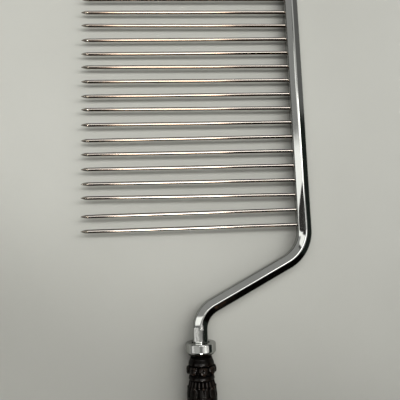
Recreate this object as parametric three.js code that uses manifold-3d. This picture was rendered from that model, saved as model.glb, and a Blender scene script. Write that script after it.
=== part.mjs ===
// A grill comb: a long-handled turner whose blade is a row of pointed rods, spaced so that they pass
// between the bars of a barbecue grate and lift what lies on it.
// One hexagonal bar carries the rods, then bends twice in its own plane and ends in a ferrule. A tie rod
// screwed into that end runs down the handle, and a cap nut draws handle, ferrule and bar together.
//
// Millimetres, +Z up. The comb lies flat, its rods pointing along -X, with the handle towards -Y.
// The origin is under the middle of the bounding box, on the level of the lowest point.
import * as THREE from "three";
import { mergeVertices } from "three/addons/utils/BufferGeometryUtils.js";
import Module from "manifold-3d";

const wasm = await Module();
wasm.setup();

// ---- Driving dimensions ----------------------------------------------------------------------------
const FIT_GAP = 0.1; // between faces that meet squarely

const TINE_COUNT = 20;
const TINE_PITCH = 12.7;
const TINE_RADIUS = 1.5;
const TINE_LENGTH = 179.5; // from the bar's flat to the point
const TINE_POINT_LENGTH = 6.5;
const TINE_POINT_RADIUS = 0.3;
const TINE_SEAT_DEPTH = 8; // how far each rod goes into the bar
const TINE_HOLE_RADIUS = 1.68;
// How far each rod leans in the plane of the comb, in degrees, from years of use. The first rod is the
// one nearest the handle, and a positive lean carries its point towards the handle.
const TINE_LEANS = [
  0.3, 0.45, -0.45, -0.1, 0, 0, 0.25, -0.05, -0.3, 0.05, -0.1, -0.2, 0.05, 0.1, -0.2, 0, 0.1, -0.15, 0.1, 0,
];

const BAR_ACROSS_FLATS = 12;
const BAR_EDGE_RADIUS = 1.3;
const BAR_PAST_LAST_TINE = 8;
const CORNER_BELOW_FIRST_TINE = 22.4; // to where the comb's and the arm's centre lines would cross
const ARM_SLOPE = THREE.MathUtils.degToRad(27.6); // the slanted arm, below the rods' direction
const UPPER_BEND_RADIUS = 30;
const LOWER_BEND_RADIUS = 22;
const BAR_STEPS = 110;

const FERRULE_TOP = -92; // below the first rod, as all the places along the handle are
const FERRULE_LENGTH = 8;
const FERRULE_RADIUS = 12.15;
const FERRULE_EDGE_ROUND = 1.6;
const FERRULE_SOCKET_RADIUS = 7.2;
const FERRULE_SOCKET_DEPTH = 5;

const HANDLE_LENGTH = 120;
const HANDLE_END_RADIUS = 11.4;
const ROD_RADIUS = 3;
const ROD_HOLE_RADIUS = 3.3;
const ROD_SEAT_DEPTH = 12;

const WASHER_RADIUS = 8;
const WASHER_THICKNESS = 1.4;
const NUT_ACROSS_FLATS = 10;
const NUT_HEX_HEIGHT = 5;
const NUT_HEIGHT = 12;
const NUT_THREAD_DEPTH = 8;

const ROUND_SIDES = 32;
const TINE_SIDES = 16;

// ---- Worked out from them --------------------------------------------------------------------------
const combWidth = TINE_LENGTH + BAR_ACROSS_FLATS;
const flatX = combWidth / 2 - BAR_ACROSS_FLATS; // the bar's flat that the rods stand in
const barX = combWidth / 2 - BAR_ACROSS_FLATS / 2; // the bar's centre line; the handle's is X = 0
const barTop = (TINE_COUNT - 1) * TINE_PITCH + BAR_PAST_LAST_TINE;
const barEnd = FERRULE_TOP - FERRULE_SOCKET_DEPTH + FIT_GAP;
const handleTop = FERRULE_TOP - FERRULE_LENGTH - FIT_GAP;
const handleEnd = handleTop - HANDLE_LENGTH;
const washerTop = handleEnd - FIT_GAP;
const nutTop = washerTop - WASHER_THICKNESS - FIT_GAP;
const nutEnd = nutTop - NUT_HEIGHT;
const rodEnd = nutTop - NUT_THREAD_DEPTH + 1;

// ---- Materials -------------------------------------------------------------------------------------
const chrome = new THREE.MeshStandardMaterial({ color: 0xb9bab6, roughness: 0.08, metalness: 1 });
const stainless = new THREE.MeshStandardMaterial({ color: 0xa79f97, roughness: 0.22, metalness: 1 });
const zincSteel = new THREE.MeshStandardMaterial({ color: 0x8e8f8d, roughness: 0.4, metalness: 1 });
const darkWood = new THREE.MeshStandardMaterial({ color: 0x1e1611, roughness: 0.35, metalness: 0 });

// ---- Joining and cutting ---------------------------------------------------------------------------
function solidOf(geometry) {
  const bare = geometry.clone();
  bare.deleteAttribute("normal");
  bare.deleteAttribute("uv");
  const merged = mergeVertices(bare, 1e-3);
  const vertProperties = merged.attributes.position.array;
  const triVerts = new Uint32Array(merged.index.array);
  return new wasm.Manifold(new wasm.Mesh({ numProp: 3, vertProperties, triVerts }));
}

function geometryOf(solid) {
  const mesh = solid.getMesh();
  const geometry = new THREE.BufferGeometry();
  geometry.setAttribute("position", new THREE.BufferAttribute(mesh.vertProperties, 3));
  geometry.setIndex(new THREE.BufferAttribute(mesh.triVerts, 1));
  geometry.computeVertexNormals();
  return geometry;
}

// A round shape about the Y axis from its outline, a list of [radius, y] or Vector2.
function turned(outline, sides = ROUND_SIDES) {
  const points = outline.map((p) => (p.isVector2 ? p : new THREE.Vector2(...p)));
  return new THREE.LatheGeometry(points, sides);
}

// A drill for a hole along Y, from one level to another.
function drillAlongY(radius, from, to, sides = ROUND_SIDES) {
  const drill = new THREE.CylinderGeometry(radius, radius, Math.abs(to - from), sides);
  return drill.translate(0, (from + to) / 2, 0);
}

function named(name, geometry, material) {
  const mesh = new THREE.Mesh(geometry, material);
  mesh.name = name;
  return mesh;
}

// ---- The hexagonal bar -----------------------------------------------------------------------------
// The section stands on an edge: its x runs across the comb's plane, and two of its flats face the rods.
function hexSection() {
  const corner = BAR_ACROSS_FLATS / Math.sqrt(3); // from the centre to a sharp corner
  const arcCentre = corner - BAR_EDGE_RADIUS / Math.cos(Math.PI / 6);
  const section = new THREE.Shape();
  for (let i = 0; i < 6; i++) {
    const facing = (i * Math.PI) / 3;
    const x = arcCentre * Math.cos(facing);
    const y = arcCentre * Math.sin(facing);
    section.absarc(x, y, BAR_EDGE_RADIUS, facing - Math.PI / 6, facing + Math.PI / 6, false);
  }
  section.closePath();
  return section;
}

// The bar's centre line: down the comb, round the upper bend, along the arm, round the lower bend.
class BarPath extends THREE.Curve {
  constructor() {
    super();
    const turn = Math.PI / 2 - ARM_SLOPE;
    const upperStart = -CORNER_BELOW_FIRST_TINE + UPPER_BEND_RADIUS * Math.tan(turn / 2);
    const lowerCorner = -CORNER_BELOW_FIRST_TINE - barX * Math.tan(ARM_SLOPE);
    const lowerEnd = lowerCorner - LOWER_BEND_RADIUS * Math.tan(turn / 2);
    this.flat = new THREE.Path();
    this.flat.moveTo(barX, barTop);
    this.flat.lineTo(barX, upperStart);
    this.flat.absarc(barX - UPPER_BEND_RADIUS, upperStart, UPPER_BEND_RADIUS, 0, -turn, true);
    this.flat.absarc(LOWER_BEND_RADIUS, lowerEnd, LOWER_BEND_RADIUS, Math.PI - turn, Math.PI, false);
    this.flat.lineTo(0, barEnd);
  }
  getPoint(t, target = new THREE.Vector3()) {
    const p = this.flat.getPoint(t);
    return target.set(p.x, p.y, 0);
  }
}

function hexBar() {
  const swept = new THREE.ExtrudeGeometry(hexSection(), {
    steps: BAR_STEPS,
    curveSegments: 1,
    extrudePath: new BarPath(),
  });
  let bar = solidOf(swept);
  for (let i = 0; i < TINE_COUNT; i++) {
    const hole = drillAlongY(TINE_HOLE_RADIUS, -2, TINE_SEAT_DEPTH + 0.3, TINE_SIDES);
    hole.rotateZ(-Math.PI / 2).translate(flatX, i * TINE_PITCH, 0);
    bar = bar.subtract(solidOf(hole));
  }
  const rodHole = drillAlongY(ROD_HOLE_RADIUS, barEnd - 2, barEnd + ROD_SEAT_DEPTH + FIT_GAP, 24);
  return named("hex_bar", geometryOf(bar.subtract(solidOf(rodHole))), chrome);
}

// ---- The rods --------------------------------------------------------------------------------------
function tine(index) {
  const outline = new THREE.Path();
  outline.moveTo(0, -TINE_SEAT_DEPTH);
  outline.lineTo(TINE_RADIUS, -TINE_SEAT_DEPTH);
  outline.lineTo(TINE_RADIUS, TINE_LENGTH - TINE_POINT_LENGTH);
  outline.quadraticCurveTo(
    TINE_RADIUS, TINE_LENGTH - TINE_POINT_LENGTH / 2,
    TINE_POINT_RADIUS, TINE_LENGTH - TINE_POINT_RADIUS / 2,
  );
  outline.lineTo(0, TINE_LENGTH);
  const geometry = turned(outline.getPoints(4), TINE_SIDES).rotateZ(Math.PI / 2);
  const mesh = named("tine_" + String(index + 1).padStart(2, "0"), geometry, stainless);
  mesh.position.set(flatX, index * TINE_PITCH, 0);
  mesh.rotation.z = THREE.MathUtils.degToRad(TINE_LEANS[index]);
  return mesh;
}

// ---- The ferrule -----------------------------------------------------------------------------------
function ferrule() {
  const bottom = FERRULE_TOP - FERRULE_LENGTH;
  const socketFloor = FERRULE_TOP - FERRULE_SOCKET_DEPTH;
  const outline = new THREE.Shape();
  outline.moveTo(ROD_HOLE_RADIUS, bottom);
  outline.lineTo(FERRULE_RADIUS - FERRULE_EDGE_ROUND, bottom);
  outline.quadraticCurveTo(FERRULE_RADIUS, bottom, FERRULE_RADIUS, bottom + 2 * FERRULE_EDGE_ROUND);
  outline.lineTo(FERRULE_RADIUS, FERRULE_TOP - FERRULE_EDGE_ROUND);
  outline.quadraticCurveTo(FERRULE_RADIUS, FERRULE_TOP, FERRULE_RADIUS - FERRULE_EDGE_ROUND, FERRULE_TOP);
  outline.lineTo(FERRULE_SOCKET_RADIUS, FERRULE_TOP);
  outline.lineTo(FERRULE_SOCKET_RADIUS, socketFloor);
  outline.lineTo(ROD_HOLE_RADIUS, socketFloor);
  outline.lineTo(ROD_HOLE_RADIUS, bottom);
  return named("ferrule", turned(outline.getPoints(4)), chrome);
}

// ---- The handle ------------------------------------------------------------------------------------
// Half of the handle's outline, from an end rim to the middle: a cove, a ring, a bead, a second ring, a
// waist and one and a half swells of the grip. The other half is its mirror image.
function halfHandleOutline() {
  const half = new THREE.Path();
  half.moveTo(HANDLE_END_RADIUS, 0);
  half.bezierCurveTo(11, 1.8, 8.7, 2, 8.7, 4); // cove
  half.bezierCurveTo(8.7, 5.6, 9.9, 5.4, 10.1, 6.6);
  half.lineTo(10.5, 9); // ring
  half.lineTo(10.1, 9.5);
  half.quadraticCurveTo(13.5, 12.6, 10.1, 16.8); // bead
  half.lineTo(10.5, 17.4); // ring
  half.lineTo(10.5, 18.6);
  half.lineTo(9.9, 19.4);
  half.lineTo(10, 23); // waist
  half.bezierCurveTo(10.1, 28, 11.6, 30, 11.7, 38); // grip
  half.bezierCurveTo(11.7, 43, 10.9, 44, 10.9, 49);
  half.bezierCurveTo(10.9, 54, 11.7, 55, 11.7, HANDLE_LENGTH / 2);
  return half.getPoints(4);
}

function handle() {
  const fromTop = halfHandleOutline();
  const fromEnd = halfHandleOutline().slice(0, -1);
  const outline = [
    new THREE.Vector2(ROD_HOLE_RADIUS, handleEnd),
    ...fromEnd.map((p) => new THREE.Vector2(p.x, handleEnd + p.y)),
    ...fromTop.reverse().map((p) => new THREE.Vector2(p.x, handleTop - p.y)),
    new THREE.Vector2(ROD_HOLE_RADIUS, handleTop),
    new THREE.Vector2(ROD_HOLE_RADIUS, handleEnd),
  ];
  return named("handle", turned(outline), darkWood);
}

// ---- The fastening ---------------------------------------------------------------------------------
function tieRod() {
  const outline = [
    [0, rodEnd],
    [ROD_RADIUS, rodEnd],
    [ROD_RADIUS, barEnd + ROD_SEAT_DEPTH],
    [0, barEnd + ROD_SEAT_DEPTH],
  ];
  return named("tie_rod", turned(outline, 24), zincSteel);
}

function endWasher() {
  const outline = [
    [ROD_HOLE_RADIUS, washerTop - WASHER_THICKNESS],
    [WASHER_RADIUS - 0.4, washerTop - WASHER_THICKNESS],
    [WASHER_RADIUS, washerTop - WASHER_THICKNESS + 0.4],
    [WASHER_RADIUS, washerTop],
    [ROD_HOLE_RADIUS, washerTop],
    [ROD_HOLE_RADIUS, washerTop - WASHER_THICKNESS],
  ];
  return named("end_washer", turned(outline), chrome);
}

function capNut() {
  const corner = NUT_ACROSS_FLATS / Math.sqrt(3);
  const hex = new THREE.CylinderGeometry(corner, corner, NUT_HEX_HEIGHT, 6);
  hex.translate(0, nutTop - NUT_HEX_HEIGHT / 2, 0);
  const domeRadius = NUT_ACROSS_FLATS / 2 - 0.25;
  const domeBase = nutEnd + domeRadius;
  const dome = new THREE.Path();
  dome.moveTo(0, nutEnd);
  dome.absarc(0, domeBase, domeRadius, -Math.PI / 2, 0, false);
  dome.lineTo(domeRadius, nutTop - 1);
  dome.lineTo(0, nutTop - 1);
  const threadHole = drillAlongY(ROD_HOLE_RADIUS, nutTop + 1, nutTop - NUT_THREAD_DEPTH, 24);
  const nut = solidOf(hex).add(solidOf(turned(dome.getPoints(5), 24))).subtract(solidOf(threadHole));
  return named("cap_nut", geometryOf(nut), chrome);
}

// ---- The whole comb --------------------------------------------------------------------------------
const grillComb = new THREE.Group();
grillComb.add(hexBar(), ferrule(), handle(), tieRod(), endWasher(), capNut());
for (let i = 0; i < TINE_COUNT; i++) grillComb.add(tine(i));
grillComb.position.set(0, -(barTop + nutEnd) / 2, FERRULE_RADIUS);

export default grillComb;
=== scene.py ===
"""A grill comb on a pale table: pointed rods in a chromed hexagonal bar, with a carved wooden handle.

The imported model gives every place. Measures of the tool are millimetres times MM, apart from the
handle's carving, which counts in millimetres. The table, the lamps and the shading are in metres.
"""

import math

import bmesh
import bpy
import numpy as np
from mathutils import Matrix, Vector


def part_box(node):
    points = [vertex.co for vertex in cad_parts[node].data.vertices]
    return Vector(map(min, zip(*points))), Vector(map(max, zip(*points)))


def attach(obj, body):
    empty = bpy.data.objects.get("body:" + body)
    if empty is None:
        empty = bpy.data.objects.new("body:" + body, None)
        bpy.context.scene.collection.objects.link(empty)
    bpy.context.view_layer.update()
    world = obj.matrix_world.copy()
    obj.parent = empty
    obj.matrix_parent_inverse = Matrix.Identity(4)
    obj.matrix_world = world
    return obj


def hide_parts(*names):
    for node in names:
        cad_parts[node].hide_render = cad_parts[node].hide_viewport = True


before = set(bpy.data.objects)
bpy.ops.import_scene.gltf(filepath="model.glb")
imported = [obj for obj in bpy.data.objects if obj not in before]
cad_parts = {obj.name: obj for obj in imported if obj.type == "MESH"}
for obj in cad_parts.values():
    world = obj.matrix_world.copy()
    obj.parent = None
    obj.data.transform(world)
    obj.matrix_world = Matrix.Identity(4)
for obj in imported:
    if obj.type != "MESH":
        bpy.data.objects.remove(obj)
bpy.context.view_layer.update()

MM = 0.001
TINE_COUNT = 20
SEAT_SLICE = 0.5 * MM  # a rod's points this close to its seated end belong to that end
BORE_RADIUS = 3.3 * MM  # the tie rod's way through ferrule, handle and washer

# ---- The bar's measures ---------------------------------------------------------------------------
ACROSS_FLATS = 12 * MM
BAR_EDGE_RADIUS = 1.9 * MM  # polished rounder than the CAD bar's edges
FLAT_CROWN = 4  # how far the polished flats turn away at their sides, in degrees
BAR_END_CHAMFER = 0.7 * MM
ARM_SLOPE = math.radians(27.6)
UPPER_BEND_RADIUS = 30 * MM
LOWER_BEND_RADIUS = 22 * MM
CORNER_BELOW_FIRST_TINE = 22.4 * MM
EDGE_SLIDE = 0.8 * MM  # how far the upper edge has slid outward beside the first rod
SLIDE_ABOVE_FIRST_TINE = 44 * MM
SLIDE_BELOW_FIRST_TINE = 28 * MM
HOLE_RADIUS = 1.62 * MM
HOLE_DEPTH = 8.2 * MM
HOLE_OVERCUT = 0.4 * MM  # how much longer the drill is than the hole


# ---- Places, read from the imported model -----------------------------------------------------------
def tine_axis(index):
    """(the middle of a rod's seated end, its point), read from the CAD rod."""
    points = [v.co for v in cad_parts[f"tine_{index + 1:02d}"].data.vertices]
    seat_x = max(p.x for p in points)
    seat = [p for p in points if p.x > seat_x - SEAT_SLICE]
    return sum(seat, Vector()) / len(seat), min(points, key=lambda p: p.x).copy()


bar_low, bar_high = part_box("hex_bar")
handle_low, handle_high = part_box("handle")
ferrule_low, ferrule_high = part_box("ferrule")
washer_low, washer_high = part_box("end_washer")
nut_low, nut_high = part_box("cap_nut")

level = (handle_low.z + handle_high.z) / 2  # the height of the comb's plane and of the handle's axis
handle_x = (handle_low.x + handle_high.x) / 2
bar_x = bar_high.x - ACROSS_FLATS / 2
flat_x = bar_high.x - ACROSS_FLATS  # the flat that the rods come out of
first_seat, first_point = tine_axis(0)
sunk = first_seat.x - flat_x  # how deep the first rod stands in the bar
first_y = first_seat.y + (first_point.y - first_seat.y) * sunk / (first_seat.x - first_point.x)


# ---- Mesh helpers ---------------------------------------------------------------------------------
def mesh_piece(name, vertices, faces, material, slot, replaced):
    """A smooth-shaded piece that rides with the tool and stands for a CAD node."""
    mesh = bpy.data.meshes.new(name)
    mesh.from_pydata([tuple(v) for v in vertices], [], faces)
    mesh.validate()
    made = bpy.data.objects.new(name, mesh)
    bpy.context.scene.collection.objects.link(made)
    shape = bmesh.new()
    shape.from_mesh(mesh)
    bmesh.ops.recalc_face_normals(shape, faces=shape.faces)
    shape.to_mesh(mesh)
    shape.free()
    mesh.shade_smooth()
    mesh.materials.append(material)
    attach(made, "root")
    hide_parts(replaced)
    return made


def crisp(piece, angle=35):
    """Marks the edges sharper than angle, in degrees, and lets the large flat faces set the shading."""
    piece.data.set_sharp_from_angle(angle=math.radians(angle))
    weighted = piece.modifiers.new("flat faces lead", "WEIGHTED_NORMAL")
    weighted.keep_sharp = True
    weighted.weight = 100
    return piece


def loft(rings, loop=False):
    """Vertices and faces joining rings of equally many points, closed at its ends or into a loop."""
    count = len(rings[0])
    vertices = [p for ring in rings for p in ring]
    faces = []
    pairs = len(rings) if loop else len(rings) - 1
    for r in range(pairs):
        here = r * count
        there = (r + 1) % len(rings) * count
        for i in range(count):
            j = (i + 1) % count
            faces.append((here + i, here + j, there + j, there + i))
    if not loop:
        faces.append(tuple(range(count - 1, -1, -1)))
        faces.append(tuple(range((len(rings) - 1) * count, len(rings) * count)))
    return vertices, faces


def point_values(piece, name, values):
    """Stores one number for each of the piece's points, for its material to read."""
    attribute = piece.data.attributes.new(name, "FLOAT", "POINT")
    attribute.data.foreach_set("value", np.asarray(values, dtype=np.float32))


def axis_ring(radii, angles, y):
    """Points round the handle's axis at y, one for each radius and its angle."""
    return [(handle_x + r * math.cos(a), y, level + r * math.sin(a)) for r, a in zip(radii, angles)]


def turned_rings(outline, sides):
    """Rings about the handle's axis, from an outline of (radius, y)."""
    turns = [2 * math.pi * i / sides for i in range(sides)]
    return [axis_ring([radius] * sides, turns, y) for radius, y in outline]


def arc(centre, radius, start, end, steps):
    """Points round part of a circle. Angles are in degrees."""
    points = []
    for i in range(steps + 1):
        a = math.radians(start + (end - start) * i / steps)
        points.append((centre[0] + radius * math.cos(a), centre[1] + radius * math.sin(a)))
    return points


def smooth_step(low, high, value):
    """0 at low, 1 at high, with a soft start and end. low may be the greater one."""
    t = np.clip((value - low) / (high - low), 0, 1)
    return t * t * (3 - 2 * t)


# ---- Node helpers ---------------------------------------------------------------------------------
def add(tree, kind, inputs=None, **settings):
    """A new node. inputs maps a socket's name or number to a value, or to the output that feeds it."""
    made = tree.nodes.new("ShaderNode" + kind)
    for key, value in settings.items():
        setattr(made, key, value)
    for socket, value in (inputs or {}).items():
        if isinstance(value, bpy.types.NodeSocket):
            tree.links.new(value, made.inputs[socket])
        else:
            made.inputs[socket].default_value = value
    return made


def remap(tree, value, low, high, to_low=0.0, to_high=1.0, smooth=False):
    """value carried from one range to another, and held inside it."""
    made = add(tree, "MapRange", {0: value, 1: low, 2: high, 3: to_low, 4: to_high})
    made.interpolation_type = "SMOOTHSTEP" if smooth else "LINEAR"
    return made.outputs[0]


def maths(tree, operation, a, b=0.0):
    """What a maths node makes of a and b, which are values or outputs."""
    return add(tree, "Math", {0: a, 1: b}, operation=operation).outputs[0]


def colour_ramp(tree, value, stops):
    """A colour from a list of (position, (r, g, b))."""
    made = add(tree, "ValToRGB", {0: value})
    elements = made.color_ramp.elements
    while len(elements) < len(stops):
        elements.new(0.5)
    for element, (position, colour) in zip(elements, stops):
        element.position = position
        element.color = (*colour, 1)
    return made.outputs[0]


def noise(tree, scale, stretch=(1, 1, 1), detail=3.0, roughness=0.5):
    """Noise over the object's own coordinates; a small stretch makes long features along that axis."""
    place = add(tree, "TexCoord").outputs["Object"]
    stretched = add(tree, "Mapping", {"Vector": place, "Scale": stretch}).outputs[0]
    inputs = {"Vector": stretched, "Scale": scale, "Detail": detail, "Roughness": roughness}
    return add(tree, "TexNoise", inputs).outputs[0]


def new_material(name):
    """(the material, its node tree, its shader)."""
    material = bpy.data.materials.new(name)
    material.use_nodes = True
    tree = material.node_tree
    return material, tree, tree.nodes["Principled BSDF"]


def bump(tree, height, strength, distance, normal=None):
    """A bumped normal, on top of another normal where one is given."""
    inputs = {"Height": height, "Strength": strength, "Distance": distance}
    if normal is not None:
        inputs["Normal"] = normal
    return add(tree, "Bump", inputs).outputs[0]


# ---- Materials ------------------------------------------------------------------------------------
def chrome_material():
    """Polished chrome plate: a faint ripple under it, fine wiping scratches, and smears of grease."""
    material, tree, shader = new_material("chrome")
    shader.inputs["Metallic"].default_value = 1
    smear = noise(tree, 70, (1, 0.35, 1), 4, 0.6)
    colour = colour_ramp(tree, smear, [(0.3, (0.70, 0.71, 0.69)), (0.7, (0.78, 0.79, 0.77))])
    tree.links.new(colour, shader.inputs["Base Color"])
    tree.links.new(remap(tree, smear, 0.35, 0.75, 0.03, 0.11), shader.inputs["Roughness"])
    along = add(tree, "SeparateXYZ", {0: add(tree, "TexCoord").outputs["Object"]}).outputs[1]
    stronger_on_arm = remap(tree, along, -0.012, 0.004, 1.0, 0.25, smooth=True)
    waves = maths(tree, "MULTIPLY", noise(tree, 130, (1, 0.6, 1), 2.5), stronger_on_arm)
    ripple = bump(tree, waves, 0.5, 0.22 * MM)
    scratches = noise(tree, 2600, (1, 0.04, 1), 2)
    tree.links.new(bump(tree, scratches, 0.02, 0.05 * MM, ripple), shader.inputs["Normal"])
    return material


def rod_material():
    """Polished steel with fine lines along the rod, with painted shade in brown below and at its sides,
    and ground dull at its point.
    """
    material, tree, shader = new_material("rod_steel")
    shader.inputs["Metallic"].default_value = 1
    shader.inputs["Specular Tint"].default_value = (0.35, 0.32, 0.30, 1)
    ground = add(tree, "Attribute", attribute_name="ground").outputs["Fac"]
    painted_shade = add(tree, "Attribute", attribute_name="painted_shade").outputs["Fac"]
    tint = noise(tree, 60, (0.4, 1, 1), 4, 0.55)
    clean = colour_ramp(tree, tint, [(0.3, (0.68, 0.63, 0.58)), (0.7, (0.84, 0.79, 0.73))])
    # Painted shade: the rod's underside and sides are mixed towards this dark brown.
    brown = (0.20, 0.15, 0.115, 1)
    bare = (0.50, 0.45, 0.39, 1)
    painted_dark = add(tree, "Mix", {0: painted_shade, 6: clean, 7: brown}, data_type="RGBA").outputs[2]
    colour = add(tree, "Mix", {0: ground, 6: painted_dark, 7: bare}, data_type="RGBA").outputs[2]
    tree.links.new(colour, shader.inputs["Base Color"])
    lines = noise(tree, 1500, (0.03, 1, 1), 3, 0.6)
    shine = remap(tree, lines, 0.3, 0.7, 0.05, 0.10)
    roughness = maths(tree, "ADD", shine, maths(tree, "MULTIPLY", ground, 0.16))
    tree.links.new(roughness, shader.inputs["Roughness"])
    drawn = bump(tree, lines, 0.05, 0.04 * MM)
    wheel_marks = maths(tree, "MULTIPLY", noise(tree, 2400, (1, 0.15, 0.15), 2), ground)
    tree.links.new(bump(tree, wheel_marks, 0.35, 0.08 * MM, drawn), shader.inputs["Normal"])
    return material


def zinc_material():
    """Zinc plate, slightly blue, with a fine crystalline mottle."""
    material, tree, shader = new_material("zinc_steel")
    shader.inputs["Metallic"].default_value = 1
    mottle = noise(tree, 900, (1, 1, 1), 3)
    colour = colour_ramp(tree, mottle, [(0.3, (0.50, 0.52, 0.53)), (0.7, (0.62, 0.63, 0.62))])
    tree.links.new(colour, shader.inputs["Base Color"])
    tree.links.new(remap(tree, mottle, 0.3, 0.7, 0.3, 0.5), shader.inputs["Roughness"])
    tree.links.new(bump(tree, mottle, 0.2, 0.05 * MM), shader.inputs["Normal"])
    return material


def wood_material():
    """Near-black oiled hardwood, worn lighter brown and glossier where the carving stands proud, dull in
    its cuts, where painted shade darkens it to black.
    """
    material, tree, shader = new_material("dark_wood")
    relief = add(tree, "Attribute", attribute_name="relief").outputs["Fac"]
    # Worn lighter where the carving stands proud; the darkening to black in its cuts is painted shade.
    worn_and_shaded = colour_ramp(tree, relief, [
        (0.30, (0.001, 0.0008, 0.0007)), (0.55, (0.003, 0.0022, 0.0017)),
        (0.74, (0.006, 0.0035, 0.0023)), (0.97, (0.019, 0.011, 0.0070))])
    grain = remap(tree, noise(tree, 420, (1, 0.06, 1), 5, 0.6), 0.3, 0.75, 0.6, 1.8)
    colour = add(tree, "VectorMath", {0: worn_and_shaded, "Scale": grain}, operation="SCALE").outputs[0]
    tree.links.new(colour, shader.inputs["Base Color"])
    patina = remap(tree, noise(tree, 160, (1, 0.5, 1), 3), 0.35, 0.7, 0.0, 0.14)
    dull = remap(tree, relief, 0.25, 0.55, 0.45, 0.08)
    tree.links.new(maths(tree, "ADD", patina, dull), shader.inputs["Roughness"])
    tree.links.new(remap(tree, relief, 0.35, 0.75, 0.02, 0.27), shader.inputs["Specular IOR Level"])
    pores = noise(tree, 1700, (1, 0.07, 1), 2)
    tree.links.new(bump(tree, pores, 0.2, 0.06 * MM), shader.inputs["Normal"])
    return material


def table_material():
    """A pale, matt table top with a faint mottle.

    Painted shade makes it greyer to the right, towards the near side round the handle and close to the
    tool, and darker in what the chrome mirrors. Far from the tool it glows faintly, a painted light, so
    that it doesn't darken away from the lamps.
    """
    material, tree, shader = new_material("table_top")
    mottle = noise(tree, 9, (1, 1, 1), 6, 0.55)
    colour = colour_ramp(tree, mottle, [(0.3, (0.66, 0.66, 0.605)), (0.7, (0.69, 0.69, 0.635))])
    place = add(tree, "TexCoord").outputs["Object"]
    x = add(tree, "SeparateXYZ", {0: place}).outputs[0]
    # Painted shade: darker towards the right.
    rightward = remap(tree, x, -0.22, 0.14, 0.99, 0.74, smooth=True)
    # Painted shadow: darker towards the near side, round the handle.
    towards_comb = {0: place, 1: (0.5, 1, 0)}
    from_handle = add(tree, "VectorMath", towards_comb, operation="DOT_PRODUCT").outputs["Value"]
    nearward = remap(tree, from_handle, -0.18, -0.02, 0.74, 1.0, smooth=True)
    # Painted contact shadow: darker close to the tool, most where the tool stands between the table and
    # the lit side to the right.
    lit_side = add(tree, "CombineXYZ", {0: 0.62, 1: 0.20, 2: 0.76}).outputs[0]
    cover = {"Distance": 50 * MM, "Normal": lit_side}
    open_sky = add(tree, "AmbientOcclusion", cover, samples=8).outputs["AO"]
    shaded = remap(tree, open_sky, 0.18, 0.56, 0.60, 1.0)
    # Painted shade: the table is darker in what the chrome mirrors.
    mirrored = remap(tree, add(tree, "LightPath").outputs["Is Glossy Ray"], 0.0, 1.0, 1.0, 0.55)
    tone = rightward
    for shade in (nearward, shaded, mirrored):
        tone = maths(tree, "MULTIPLY", tone, shade)
    toned = add(tree, "VectorMath", {0: colour, "Scale": tone}, operation="SCALE").outputs[0]
    tree.links.new(toned, shader.inputs["Base Color"])
    # Painted light: far from the tool the table glows.
    distance = add(tree, "VectorMath", {0: place}, operation="LENGTH").outputs["Value"]
    glow = remap(tree, distance, 0.24, 0.80, 0.0, 0.40, smooth=True)
    shader.inputs["Emission Color"].default_value = (1, 1, 0.96, 1)
    tree.links.new(glow, shader.inputs["Emission Strength"])
    shader.inputs["Roughness"].default_value = 0.6
    shader.inputs["Specular IOR Level"].default_value = 0.3
    return material


chrome = chrome_material()
rod_steel = rod_material()
zinc = zinc_material()
dark_wood = wood_material()


# ---- The bar --------------------------------------------------------------------------------------
EDGE_STEPS = 6
FLAT_STEPS = 4
FLAT_SHARE = 0.66  # of a flat's crown: its points stop short of the rounded edges
COMB_STEPS = 60
BEND_STEPS = 48
ARM_STEPS = 12
SEAT_STEPS = 4


def hex_section(inset=0.0, slide=0.0):
    """(across, up) points round the bar's section, which stands on an edge and has crowned flats.

    slide moves the upper edge down along the outer flat, so that the inner flat lies lower and is wider.
    """
    crown = math.radians(FLAT_CROWN)
    reach = (ACROSS_FLATS / 2 - BAR_EDGE_RADIUS) / (math.cos(math.pi / 6) + math.tan(crown / 2) / 2)
    corners = [math.pi / 2 + math.pi / 3 * i for i in range(6)]
    centres = [Vector((math.cos(a), math.sin(a))) * reach for a in corners]
    centres[0] += Vector((math.cos(math.pi / 6), -math.sin(math.pi / 6))) * slide
    sides = [centres[(i + 1) % 6] - centres[i] for i in range(6)]
    facings = [math.degrees(math.atan2(-side.x, side.y)) % 360 for side in sides]
    edge_radius = BAR_EDGE_RADIUS - inset
    spread = FLAT_CROWN * FLAT_SHARE
    points = []
    for i in range(6):
        facing = facings[i]
        before = facings[i - 1]
        turn = (facing - before) % 360
        points += arc(centres[i], edge_radius, before + FLAT_CROWN, before + turn - FLAT_CROWN, EDGE_STEPS)
        flat_radius = sides[i].length / 2 / math.sin(crown) + BAR_EDGE_RADIUS
        out = Vector((math.cos(math.radians(facing)), math.sin(math.radians(facing))))
        middle = (centres[i] + centres[(i + 1) % 6]) / 2
        back = middle - out * (flat_radius - BAR_EDGE_RADIUS) * math.cos(crown)
        points += arc(back, flat_radius - inset, facing - spread, facing + spread, FLAT_STEPS)
    return points


def straight(start, end, steps):
    """Stations (x, y, heading) along a straight stretch, without its end."""
    heading = math.atan2(end[1] - start[1], end[0] - start[0])
    for i in range(steps):
        t = i / steps
        yield (start[0] + (end[0] - start[0]) * t, start[1] + (end[1] - start[1]) * t, heading)


def bend(centre, radius, start, end, steps):
    """Stations round a bend, without its end. Angles are in radians; the path turns the way they run."""
    way = 1 if end > start else -1
    for i in range(steps):
        a = start + (end - start) * i / steps
        x = centre[0] + radius * math.cos(a)
        y = centre[1] + radius * math.sin(a)
        yield (x, y, a + way * math.pi / 2)


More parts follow.
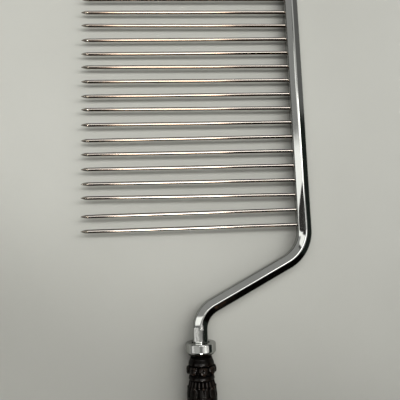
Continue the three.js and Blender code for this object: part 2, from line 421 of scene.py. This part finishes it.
def bar_stations():
    """The bar's centre line from the comb's far end to the seat in the ferrule."""
    turn = math.pi / 2 - ARM_SLOPE
    upper_y = first_y - CORNER_BELOW_FIRST_TINE + UPPER_BEND_RADIUS * math.tan(turn / 2)
    lower_corner = first_y - CORNER_BELOW_FIRST_TINE - (bar_x - handle_x) * math.tan(ARM_SLOPE)
    lower_y = lower_corner - LOWER_BEND_RADIUS * math.tan(turn / 2)
    upper_centre = (bar_x - UPPER_BEND_RADIUS, upper_y)
    lower_centre = (handle_x + LOWER_BEND_RADIUS, lower_y)
    upper = list(bend(upper_centre, UPPER_BEND_RADIUS, 0, -turn, BEND_STEPS))
    lower = list(bend(lower_centre, LOWER_BEND_RADIUS, math.pi - turn, math.pi, BEND_STEPS))
    stations = list(straight((bar_x, bar_high.y), (bar_x, upper_y), COMB_STEPS))
    stations += upper
    arm_start = (upper_centre[0] + UPPER_BEND_RADIUS * math.cos(-turn),
                 upper_centre[1] + UPPER_BEND_RADIUS * math.sin(-turn))
    stations += list(straight(arm_start, lower[0][:2], ARM_STEPS))
    stations += lower
    stations += list(straight((handle_x, lower_y), (handle_x, bar_low.y), SEAT_STEPS))
    stations.append((handle_x, bar_low.y, -math.pi / 2))
    return stations


def edge_slide(y):
    """How far the bar's upper edge has slid outward at y, as from a slight twist."""
    along_comb = smooth_step(first_y + SLIDE_ABOVE_FIRST_TINE, first_y, y)
    into_bend = smooth_step(first_y - SLIDE_BELOW_FIRST_TINE, first_y, y)
    return EDGE_SLIDE * float(along_comb * into_bend)


def placed_section(section, station, shift=0.0):
    """The section's points at a station, shifted along the heading."""
    x, y, heading = station
    right = Vector((math.sin(heading), -math.cos(heading), 0))
    start = Vector((x + shift * math.cos(heading), y + shift * math.sin(heading), level))
    return [start - right * across + Vector((0, 0, up)) for across, up in section]


def hex_bar():
    """The bent bar, with chamfered ends and the rods' holes."""
    stations = bar_stations()
    section = hex_section()
    chamfered = hex_section(BAR_END_CHAMFER)
    rings = [placed_section(chamfered, stations[0])]
    rings.append(placed_section(section, stations[0], BAR_END_CHAMFER))
    rings += [placed_section(hex_section(slide=edge_slide(s[1])), s) for s in stations[1:-1]]
    rings.append(placed_section(section, stations[-1], -BAR_END_CHAMFER))
    rings.append(placed_section(chamfered, stations[-1]))
    bar = mesh_piece("hex_bar_plated", *loft(rings), chrome, "chrome", "hex_bar")
    drill_tine_holes(bar)
    return crisp(bar)


def drill_tine_holes(bar):
    """Cuts the blind holes for the rods, with a boolean whose result is kept."""
    drills = bmesh.new()
    for i in range(TINE_COUNT):
        seat, point = tine_axis(i)
        along = (point - seat).normalized()
        middle = seat + along * (HOLE_DEPTH / 2)
        turn = along.to_track_quat("Z", "Y").to_matrix().to_4x4()
        turn.translation = middle
        bmesh.ops.create_cone(drills, cap_ends=True, segments=32, radius1=HOLE_RADIUS,
                              radius2=HOLE_RADIUS, depth=HOLE_DEPTH + HOLE_OVERCUT, matrix=turn)
    mesh = bpy.data.meshes.new("drills")
    drills.to_mesh(mesh)
    drills.free()
    tool = bpy.data.objects.new("drills", mesh)
    bpy.context.scene.collection.objects.link(tool)
    cut = bar.modifiers.new("holes", "BOOLEAN")
    cut.object = tool
    cut.operation = "DIFFERENCE"
    cut.solver = "EXACT"
    keep_result(bar)
    bpy.data.objects.remove(tool)
    bpy.data.meshes.remove(mesh)


def keep_result(piece):
    """Replaces a piece's mesh with what its modifiers make of it."""
    bpy.context.view_layer.update()
    graph = bpy.context.evaluated_depsgraph_get()
    result = bpy.data.meshes.new_from_object(piece.evaluated_get(graph))
    old = piece.data
    piece.modifiers.clear()
    piece.data = result
    result.name = old.name + "_cut"
    bpy.data.meshes.remove(old)


# ---- The rods -------------------------------------------------------------------------------------
ROD_RADIUS = 1.5 * MM
ROD_SEAT_CHAMFER = 0.2 * MM
ROD_POINT_LENGTH = 6.5 * MM
ROD_POINT_POWER = 2.1  # 1 would be a straight cone, more is fuller
ROD_TIP_RADIUS = 0.16 * MM
ROD_TIP_LENGTH = 0.12 * MM
ROD_TIP_END = 0.02 * MM
ROD_SIDES = 32
SHANK_STEPS = 24
POINT_STEPS = 12


def rod_outline(length):
    """(radius, distance from the seat, ground) along a rod: chamfered seat, shank and ground point."""
    points = [(ROD_RADIUS - ROD_SEAT_CHAMFER, 0.0, 0), (ROD_RADIUS, ROD_SEAT_CHAMFER, 0)]
    shank_end = length - ROD_POINT_LENGTH
    for i in range(1, SHANK_STEPS + 1):
        points.append((ROD_RADIUS, shank_end * i / SHANK_STEPS, 0))
    for i in range(1, POINT_STEPS + 1):
        t = i / POINT_STEPS
        radius = ROD_RADIUS * (1 - t ** ROD_POINT_POWER) + ROD_TIP_RADIUS * t
        points.append((radius, shank_end + (ROD_POINT_LENGTH - ROD_TIP_LENGTH) * t, 1))
    points.append((ROD_TIP_END, length, 1))
    return points


def rod_painted_shade(across, up):
    """How much painted shade browns the rod on the side that faces (across, up): below and at both sides.
    """
    near = smooth_step(0.0, 0.4, -across)
    far = smooth_step(0.45, 0.75, across)
    below = smooth_step(0.0, 0.3, -up)
    return float(max(near, far, below))


def rod(index):
    """One rod of the comb, in line with its CAD rod."""
    seat, point = tine_axis(index)
    along = (point - seat).normalized()
    across = along.cross(Vector((0, 0, 1))).normalized()
    up = across.cross(along)
    turns = [2 * math.pi * i / ROD_SIDES for i in range(ROD_SIDES)]
    # Painted shade for each point round the rod, by the way it faces.
    sides = [rod_painted_shade(math.cos(a), math.sin(a)) for a in turns]
    rings = []
    ground = []
    painted_shade = []
    for radius, distance, is_ground in rod_outline((point - seat).length):
        middle = seat + along * distance
        ring = [middle + across * (radius * math.cos(a)) + up * (radius * math.sin(a)) for a in turns]
        rings.append(ring)
        ground += [is_ground] * ROD_SIDES
        painted_shade += sides
    number = f"{index + 1:02d}"
    made = mesh_piece(f"rod_{number}", *loft(rings), rod_steel, "rod_steel", f"tine_{number}")
    point_values(made, "ground", ground)
    point_values(made, "painted_shade", painted_shade)
    return crisp(made)


# ---- The ferrule ----------------------------------------------------------------------------------
FERRULE_SIDES = 128
FERRULE_LOWER_ROUND = 1.7 * MM
FERRULE_UPPER_ROUND = 1.0 * MM
SOCKET_RADIUS = 7.2 * MM
SOCKET_DEPTH = 5 * MM
SOCKET_ROUND = 0.5 * MM


def ferrule():
    """A short collar with a straight wall, rounded edges and a socket that the bar stands in."""
    radius = (ferrule_high.x - ferrule_low.x) / 2
    top = ferrule_high.y
    bottom = ferrule_low.y
    lower = FERRULE_LOWER_ROUND
    upper = FERRULE_UPPER_ROUND
    rim = SOCKET_ROUND
    outline = [(BORE_RADIUS, bottom)]
    outline += arc((radius - lower, bottom + lower), lower, -90, 0, 10)
    outline += arc((radius - upper, top - upper), upper, 0, 90, 8)
    outline += arc((SOCKET_RADIUS + rim, top - rim), rim, 90, 180, 5)
    outline += [(SOCKET_RADIUS, top - SOCKET_DEPTH), (BORE_RADIUS, top - SOCKET_DEPTH)]
    rings = turned_rings(outline, FERRULE_SIDES)
    return crisp(mesh_piece("ferrule_plated", *loft(rings, loop=True), chrome, "chrome", "ferrule"))


# ---- The handle -----------------------------------------------------------------------------------
HANDLE_AROUND = 192
HANDLE_ALONG = 480
HANDLE_LIMIT = 12.0  # the radius of the blank that the handle is carved from, in millimetres

# The turned shape in millimetres, from either end to the middle: (distance from the end, radius).
HANDLE_OUTLINE = (
    (0, 11.0), (0.8, 10.3), (1.6, 9.0), (2.4, 8.4), (3.2, 8.4), (4.0, 9.0),  # the end and a waist
    (4.6, 9.1), (6.6, 10.0), (8.4, 10.43), (8.6, 10.35), (8.9, 9.7), (9.3, 9.3), (9.8, 9.8),  # the neck
    (10.6, 10.2), (12.4, 10.7), (13.8, 10.9), (14.6, 10.7), (15.4, 10.0), (16.2, 9.4),  # under the lobes
    (16.6, 9.5), (17.8, 10.1), (19.3, 10.46), (19.6, 10.3), (20.1, 9.5), (20.6, 9.5),  # a bead
    (24, 10.3), (28, 10.45), (32.5, 11.2), (36, 11.5), (40, 11.7), (44, 11.5),  # the grip
    (49, 10.9), (54, 11.4), (60, 11.7))

# Rows of carving: (start, end, how far it is turned, as a share of one leaf). All have as many leaves.
LOBE_ROW = (9.3, 16.0, 0.61)
LEAF_ROWS = ((24.5, 38, 0.61), (32, 47, 0.11), (44, 59, 0.61), (54, 69, 0.11))
LEAVES_AROUND = 8
LOBE_HEIGHT = 1.5
LEAF_HEIGHT = 1.1
LEAF_HALF_WIDTH = 0.47  # as a share of the way from one leaf to the next, like RIB_WIDTH
RIB_WIDTH = 0.045
RIB_DEPTH = 0.75  # as a share of the leaf's height, like VEIN_DEPTH
VEIN_DEPTH = 0.16
FLUTES_AROUND = 20
FLUTES_TURNED = 0.15
FLUTE_HEIGHT = 1.3
FLUTE_SINK = 0.9
RELIEF_REACH = 4  # points on each side that one point is compared with, twice over
RELIEF_GAIN = 0.8


def leaves(turn, t, row, height):
    """A row of raised pointed leaves round the handle, each with a midrib cut and faint veins."""
    start, end, turned = row
    s = np.clip((t - start) / (end - start), 0, 1)
    width = np.sin(np.pi * s ** 0.55) ** 0.8 * LEAF_HALF_WIDTH
    place = (turn * LEAVES_AROUND + turned) % 1 - 0.5
    inside = np.clip(1 - np.abs(place) / np.maximum(width, 1e-3), 0, 1)
    body = np.sqrt(1 - (1 - inside) ** 2)
    rib = RIB_DEPTH * np.exp(-(place / RIB_WIDTH) ** 2) * smooth_step(0.05, 0.25, s) * (1 - s)
    veins = VEIN_DEPTH * np.sin((t - start) * 4.2 + np.abs(place) * 26) * inside
    within = smooth_step(start - 0.2, start + 0.5, t) * (1 - smooth_step(end - 0.4, end + 0.1, t))
    return within * (height * (body - rib + veins))


def handle_relief(turn, t):
    """How far the carving stands above the turned shape, t from the nearer end. turn runs from 0 to 1."""
    relief = leaves(turn, t, LOBE_ROW, LOBE_HEIGHT)
    flutes = np.abs(np.cos(np.pi * (turn * FLUTES_AROUND + FLUTES_TURNED)))
    fluted = smooth_step(20.2, 21.0, t) * (1 - smooth_step(24.5, 27, t))
    relief = relief + fluted * (FLUTE_HEIGHT * flutes - FLUTE_SINK)
    for row in LEAF_ROWS:
        relief = relief + leaves(turn, t, row, LEAF_HEIGHT)
    return relief


def blurred(values, reach):
    """Each value averaged with those up to reach rows and columns away. Columns run round the handle."""
    total = sum(np.roll(values, shift, axis=1) for shift in range(-reach, reach + 1)) / (2 * reach + 1)
    padded = np.pad(total, ((reach, reach), (0, 0)), mode="edge")
    rows = len(values)
    return sum(padded[shift:shift + rows] for shift in range(2 * reach + 1)) / (2 * reach + 1)


def handle():
    """The turned and carved handle, with a bore. Each point stores how far it stands proud."""
    top = handle_high.y
    end = handle_low.y
    length = (top - end) / MM
    along = np.linspace(0, length, HANDLE_ALONG + 1)
    around = np.arange(HANDLE_AROUND) / HANDLE_AROUND
    t, turn = np.meshgrid(along, around, indexing="ij")
    from_end = np.minimum(t, length - t)
    distances, radii = zip(*HANDLE_OUTLINE)
    turned = np.interp(from_end, distances, radii)
    carved = np.minimum(turned + handle_relief(turn, from_end), HANDLE_LIMIT)
    surroundings = blurred(blurred(carved, RELIEF_REACH), RELIEF_REACH)
    proud = np.clip(0.5 + RELIEF_GAIN * (carved - surroundings), 0, 1)
    angles = 2 * np.pi * around + np.pi / 2
    rings = [axis_ring(radius, angles, top - place * MM) for radius, place in zip(carved * MM, along)]
    bore = [BORE_RADIUS] * HANDLE_AROUND
    rings += [axis_ring(bore, angles, end), axis_ring(bore, angles, top)]
    made = mesh_piece("handle_carved", *loft(rings, loop=True), dark_wood, "dark_wood", "handle")
    # The wood's colour reads this: worn lighter where proud, painted shade in the cuts.
    point_values(made, "relief", np.concatenate([proud.ravel(), np.zeros(2 * HANDLE_AROUND)]))
    made.data.set_sharp_from_angle(angle=math.radians(70))
    return made


# ---- The fastening --------------------------------------------------------------------------------
FASTENING_SIDES = 96
WASHER_ROUND = 0.4 * MM
WASHER_BROKEN_EDGE = 0.1 * MM
NUT_HEXAGON_HEIGHT = 5 * MM
NUT_BROKEN_CORNER = 0.05 * MM
NUT_SEAT_CONE = 0.35 * MM
NUT_DOME_CONE = 0.8 * MM
DOME_INSET = 0.3 * MM
DOME_FILLET = (0.15 * MM, 0.3 * MM)  # (how far it spreads, its height)
DOME_TIP = 0.05 * MM


def end_washer():
    """A plain washer, rounded at its outer side."""
    radius = (washer_high.x - washer_low.x) / 2
    top = washer_high.y
    bottom = washer_low.y
    broken = WASHER_BROKEN_EDGE
    outline = [(BORE_RADIUS, top), (BORE_RADIUS, bottom)]
    outline += arc((radius - WASHER_ROUND, bottom + WASHER_ROUND), WASHER_ROUND, -90, 0, 6)
    outline += arc((radius - broken, top - broken), broken, 0, 90, 3)
    rings = turned_rings(outline, FASTENING_SIDES)
    return crisp(mesh_piece("end_washer_plated", *loft(rings, loop=True), chrome, "chrome", "end_washer"))


def cap_nut():
    """An acorn nut: a hexagon with turned-down corners, and a dome."""
    across = nut_high.x - nut_low.x
    corner = across / math.sqrt(3) - NUT_BROKEN_CORNER
    top = nut_high.y
    end = nut_low.y
    hexagon_end = top - NUT_HEXAGON_HEIGHT
    angles = [2 * math.pi * i / FASTENING_SIDES for i in range(FASTENING_SIDES)]
    flats = [across / 2 / math.cos((a + math.pi / 6) % (math.pi / 3) - math.pi / 6) for a in angles]
    rings = []
    for y, cone in ((top, NUT_SEAT_CONE), (top - NUT_SEAT_CONE, 0),
                    (hexagon_end + NUT_DOME_CONE, 0), (hexagon_end, NUT_DOME_CONE)):
        rings.append(axis_ring([min(flat, corner - cone) for flat in flats], angles, y))
    dome_radius = across / 2 - DOME_INSET
    spread, height = DOME_FILLET
    dome = [(dome_radius + spread, hexagon_end), (dome_radius, hexagon_end - height)]
    dome += arc((0, end + dome_radius), dome_radius, 0, -84, 14)
    dome.append((DOME_TIP, end))
    rings += turned_rings(dome, FASTENING_SIDES)
    return crisp(mesh_piece("cap_nut_plated", *loft(rings), chrome, "chrome", "cap_nut"), 30)


# ---- The room -------------------------------------------------------------------------------------
TABLE_REACH = 3.0


def table():
    """The floor touches the ferrule's lowest point and rises to just under the bar's far end."""
    rise = bar_low.z
    run = bar_high.y - ferrule_low.y
    touch_y = (ferrule_low.y + ferrule_high.y) / 2
    far = TABLE_REACH
    corners = []
    for x, y in ((-far, -far), (far, -far), (far, far), (-far, far)):
        corners.append((x, y, rise * (y - touch_y) / run))
    mesh = bpy.data.meshes.new("table_top")
    mesh.from_pydata(corners, [], [(0, 1, 2, 3)])
    made = bpy.data.objects.new("table_top", mesh)
    bpy.context.scene.collection.objects.link(made)
    mesh.materials.append(table_material())


def slab(tree, direction, normal, low, high, soft):
    """1 in the directions that reach between low and high along normal, fading over soft on both sides."""
    along = add(tree, "VectorMath", {0: direction, 1: normal}, operation="DOT_PRODUCT").outputs["Value"]
    rising = remap(tree, along, low - soft, low + soft, smooth=True)
    falling = remap(tree, along, high - soft, high + soft, 1.0, 0.0, smooth=True)
    return maths(tree, "MULTIPLY", rising, falling)


def patch(tree, under, direction, colour, slabs, soft):
    """Lays a soft-edged patch of a colour over what the room shows. slabs: (normal, low, high)."""
    mask = None
    for normal, low, high in slabs:
        inside = slab(tree, direction, normal, low, high, soft)
        mask = inside if mask is None else maths(tree, "MULTIPLY", mask, inside)
    fill = colour if isinstance(colour, bpy.types.NodeSocket) else (*colour, 1)
    return add(tree, "Mix", {0: mask, 6: under, 7: fill}, data_type="RGBA").outputs[2]


X_WAY = (1, 0, 0)
Y_WAY = (0, 1, 0)
Z_WAY = (0, 0, 1)
WEDGE_WAY = (-0.41, 1, 0)
FAR = 9

# The tones of the room, as (r, g, b). Windows and lamps are above 1.
DUSK = (0.20, 0.20, 0.19)
BLACK = (0.0015, 0.0013, 0.001)
GREEN_BLACK = (0.012, 0.0155, 0.013)
SLATE = (0.12, 0.12, 0.115)
SOOT = (0.036, 0.034, 0.032)
BROWN = (0.055, 0.030, 0.019)
CEILING = (0.50, 0.50, 0.48)
GREY_WINDOW = (0.42, 0.42, 0.40)
WINDOW = (1.15, 1.15, 1.10)
STRIP = (2.3, 2.3, 2.25)
LAMP_GLOW = (5.5, 5.4, 5.2)
HIGHLIGHT = (34.0, 33.0, 31.0)

BACKDROP = (0.5, 0.5, 0.48, 1)  # what the camera sees past the table's edge


def wavering(tree, straight_way):
    """The direction looked in, bent a little to and fro, so that nothing mirrored has a ruled edge."""
    waver = add(tree, "TexNoise", {"Vector": straight_way, "Scale": 9.0, "Detail": 2.0}).outputs["Color"]
    centred = add(tree, "VectorMath", {0: waver, 1: (0.5, 0.5, 0.5)}, operation="SUBTRACT").outputs[0]
    small = add(tree, "VectorMath", {0: centred, "Scale": 0.03}, operation="SCALE").outputs[0]
    return add(tree, "VectorMath", {0: straight_way, 1: small}, operation="ADD").outputs[0]


def mirrored_room(tree, straight_way):
    """A grey ceiling with a bright lamp, windows to the left and near, and a dark near and right side."""
    direction = wavering(tree, straight_way)
    height = add(tree, "SeparateXYZ", {0: direction}).outputs[2]
    shade = colour_ramp(tree, height, [
        (0.38, (0.035, 0.035, 0.034)), (0.48, (0.27, 0.27, 0.26)),
        (0.82, (0.27, 0.27, 0.26)), (0.95, (0.48, 0.48, 0.46))])
    marbled = add(tree, "TexNoise", {"Vector": straight_way, "Scale": 22.0, "Detail": 3.0}).outputs[0]
    near_window = colour_ramp(tree, marbled, [
        (0.40, (0.12, 0.12, 0.115)), (0.47, (0.55, 0.54, 0.52)), (0.58, (0.95, 0.93, 0.90))])
    wedge = [(WEDGE_WAY, -FAR, 0.343), (X_WAY, -0.685, -0.44), (Y_WAY, -0.04, 0.26), (Z_WAY, 0.60, FAR)]
    for colour, slabs, soft in (
            (CEILING, [(X_WAY, -0.05, 0.60), (Y_WAY, 0.30, 0.80), (Z_WAY, 0.50, FAR)], 0.08),
            (SOOT, [(X_WAY, -0.04, FAR), (Y_WAY, 0.74, FAR)], 0.06),
            (DUSK, [(Y_WAY, -FAR, -0.16)], 0.05),
            (BLACK, [(Y_WAY, -FAR, -0.37)], 0.05),
            (SLATE, [(X_WAY, 0.45, FAR), (Y_WAY, 0.30, FAR), (Z_WAY, -FAR, 0.50)], 0.03),
            (GREEN_BLACK, [(X_WAY, 0.45, FAR), (Y_WAY, -FAR, 0.30), (Z_WAY, -FAR, 0.55)], 0.02),
            (BLACK, [(X_WAY, 0.45, FAR), (Y_WAY, -FAR, -0.45), (Z_WAY, -FAR, 0.60)], 0.04),
            (SOOT, [(X_WAY, -0.50, -0.32), (Y_WAY, 0.04, 0.50), (Z_WAY, 0.70, FAR)], 0.025),
            (STRIP, [(X_WAY, -0.28, 0.16), (Y_WAY, 0.08, 0.34), (Z_WAY, 0.80, FAR)], 0.03),
            (LAMP_GLOW, [(X_WAY, 0.08, 0.45), (Y_WAY, 0.15, 0.33), (Z_WAY, 0.80, FAR)], 0.04),
            (WINDOW, [(X_WAY, -FAR, -0.50), (Y_WAY, -0.02, 0.25), (Z_WAY, 0.45, 0.86)], 0.03),
            (SOOT, wedge, 0.010),
            (WINDOW, [(X_WAY, -0.56, -0.38), (Y_WAY, 0.20, 0.45), (Z_WAY, 0.74, 0.90)], 0.02),
            (SLATE, [(X_WAY, -FAR, -0.45), (Y_WAY, -0.10, -0.01), (Z_WAY, 0.45, 0.70)], 0.03),
            (GREY_WINDOW, [(X_WAY, -0.90, -0.17), (Y_WAY, -0.32, -0.19), (Z_WAY, 0.20, FAR)], 0.02),
            (near_window, [(X_WAY, -FAR, -0.70), (Y_WAY, -0.30, -0.08), (Z_WAY, 0.30, 0.62)], 0.02),
            (near_window, [(X_WAY, 0.20, 0.90), (Y_WAY, -0.32, -0.205), (Z_WAY, 0.50, FAR)], 0.010),
            (WINDOW, [(X_WAY, 0.40, 0.68), (Y_WAY, -0.27, -0.205), (Z_WAY, 0.40, FAR)], 0.010),
            (HIGHLIGHT, [(X_WAY, -0.14, 0.11), (Y_WAY, -0.60, -0.36), (Z_WAY, 0.50, FAR)], 0.03),
            (BROWN, [(X_WAY, 0.36, 0.44), (Y_WAY, -FAR, -0.76), (Z_WAY, 0.20, 0.60)], 0.03)):
        shade = patch(tree, shade, direction, colour, slabs, soft)
    return shade


def room():
    """Shiny surfaces mirror the room. Matt ones get a plain light from it, stronger from the right."""
    world = bpy.data.worlds.new("room")
    bpy.context.scene.world = world
    world.use_nodes = True
    tree = world.node_tree
    straight_way = add(tree, "TexCoord").outputs["Generated"]
    mirrored = mirrored_room(tree, straight_way)
    rays = add(tree, "LightPath")
    from_matt = maths(tree, "MINIMUM", rays.outputs["Diffuse Depth"], 1.0)
    rightward = remap(tree, add(tree, "SeparateXYZ", {0: straight_way}).outputs[0], -0.4, 0.9)
    ambient = colour_ramp(tree, rightward, [(0, (0.08, 0.08, 0.077)), (1, (0.85, 0.85, 0.82))])
    lit = add(tree, "Mix", {0: from_matt, 6: mirrored, 7: ambient}, data_type="RGBA").outputs[2]
    is_camera = rays.outputs["Is Camera Ray"]
    shown = add(tree, "Mix", {0: is_camera, 6: lit, 7: BACKDROP}, data_type="RGBA").outputs[2]
    tree.links.new(shown, tree.nodes["Background"].inputs["Color"])
    world.cycles.sampling_method = "NONE"


# ---- The lamps and the camera ---------------------------------------------------------------------
LAMP_AIM = Vector((-0.02, 0.14, 0))
LAMP_DISTANCE = 0.6
LAMP_SIZE = (0.16, 0.22)

# (angle to the right of upright, power)
LAMPS = ((-24, 0.30), (-9, 0.41), (6, 0.48), (21, 0.48), (36, 0.48), (50, 0.36))


def lamp(name, place, power):
    """A soft lamp that lights the comb but isn't mirrored: the room shows its glow to the chrome."""
    data = bpy.data.lights.new(name, "AREA")
    data.shape = "RECTANGLE"
    data.size, data.size_y = LAMP_SIZE
    data.energy = power
    made = bpy.data.objects.new(name, data)
    made.location = place
    made.rotation_euler = (LAMP_AIM - place).to_track_quat("-Z", "Y").to_euler()
    made.visible_glossy = False
    bpy.context.scene.collection.objects.link(made)


def lights():
    """Soft lamps on an arc over the comb, more of them to the right."""
    for number, (angle, power) in enumerate(LAMPS, 1):
        turn = math.radians(angle)
        place = LAMP_AIM + LAMP_DISTANCE * Vector((math.sin(turn), 0, math.cos(turn)))
        lamp(f"soft_lamp_{number}", place, power)


CAMERA_FROM_FIRST_ROD = Vector((-99.4, -20.4, 348.8)) * MM
CAMERA_TILT = [math.radians(a) for a in (7.07, -3.05, -1.43)]


def camera():
    """It stands over the middle of the rods, near the first one, and looks almost straight down."""
    data = bpy.data.cameras.new("camera")
    data.sensor_width = 36
    data.lens = 37.8
    data.clip_start = 0.01
    made = bpy.data.objects.new("camera", data)
    made.location = Vector((flat_x, first_y, level)) + CAMERA_FROM_FIRST_ROD
    made.rotation_mode = "ZYX"
    made.rotation_euler = CAMERA_TILT
    bpy.context.scene.collection.objects.link(made)
    bpy.context.scene.camera = made


# ---- Everything in place --------------------------------------------------------------------------
hex_bar()
for index in range(TINE_COUNT):
    rod(index)
ferrule()
handle()
end_washer()
cap_nut()
tie_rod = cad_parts["tie_rod"]
tie_rod.data.materials.clear()
tie_rod.data.materials.append(zinc)

table()
room()
lights()
camera()
bpy.context.scene.view_settings.view_transform = "Standard"
